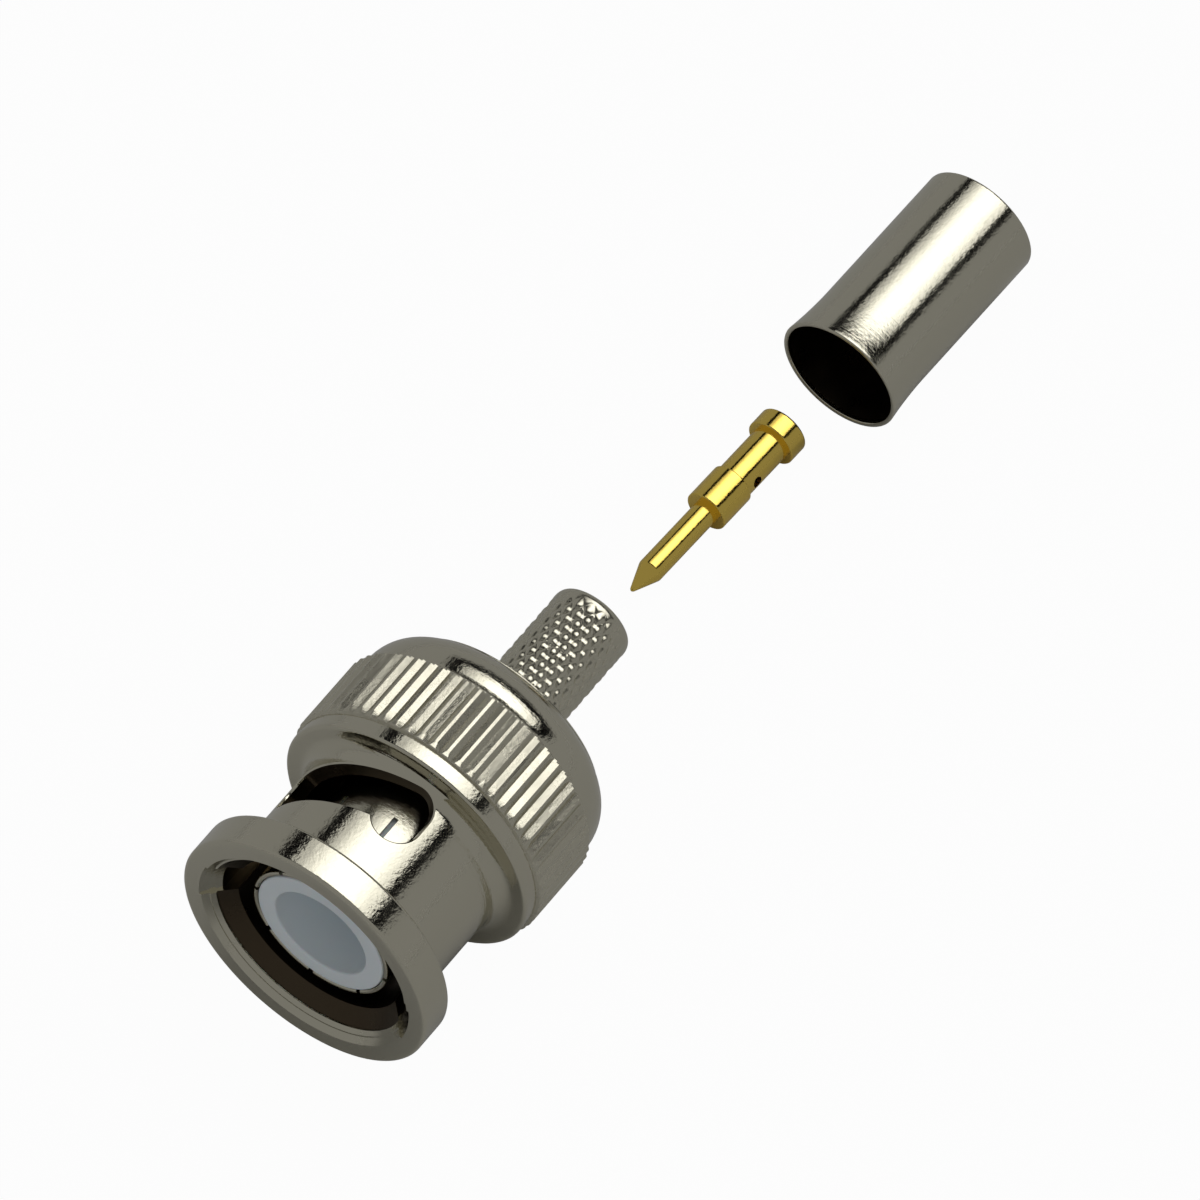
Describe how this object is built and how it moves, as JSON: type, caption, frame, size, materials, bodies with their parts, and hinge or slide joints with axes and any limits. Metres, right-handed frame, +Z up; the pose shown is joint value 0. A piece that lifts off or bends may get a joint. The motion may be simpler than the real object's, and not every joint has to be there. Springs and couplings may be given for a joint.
{
  "type": "bnc connector",
  "caption": "Crimp-on bayonet coaxial plug in its loose pieces: a sprung, turning coupling nut on a plug body, a gilt centre pin and a crimp ferrule.",
  "frame": {"origin": "on the surface that the pieces lie on, under the centre of their common box", "axes": "+X along the plug's axis, from the mouth of the nut to the cable end; +Z up"},
  "size_m": [0.0578, 0.0148, 0.0149],
  "materials": {
    "nickel_nut": "bright nickel plate, turned",
    "nickel_body": "nickel plate, turned and knurled",
    "nickel_contact": "bright nickel plate",
    "nickel_ferrule": "nickel plate, drawn tube",
    "gilt_pin": "gold plate, turned",
    "white_insulator": "white moulded plastic",
    "seal_rubber": "silicone rubber",
    "spring_steel": "spring temper"
  },
  "bodies": {
    "plug": {"plug_body": "nickel_body", "outer_contact": "nickel_contact", "dielectric": "white_insulator", "gasket": "seal_rubber", "wave_washer_front": "spring_steel", "wave_washer_rear": "spring_steel", "centre_contact": "gilt_pin", "crimp_ferrule": "nickel_ferrule"},
    "thrust": {"thrust_washer": "nickel_body"},
    "nut": {"coupling_nut": "nickel_nut"}
  },
  "joints": [
    {"name": "nut_pull", "type": "slide", "parent": "plug", "child": "thrust", "axis": [-1, 0, 0], "range_m": [0, 0.0008], "stiffness_N_per_m": 2000, "springref_m": -0.0005, "deforming": ["wave_washer_front", "wave_washer_rear"]},
    {"name": "nut_turn", "type": "hinge", "parent": "thrust", "child": "nut", "pos_m": [-0.0209, 0, 0.00745], "axis": [1, 0, 0], "continuous": true}
  ]
}
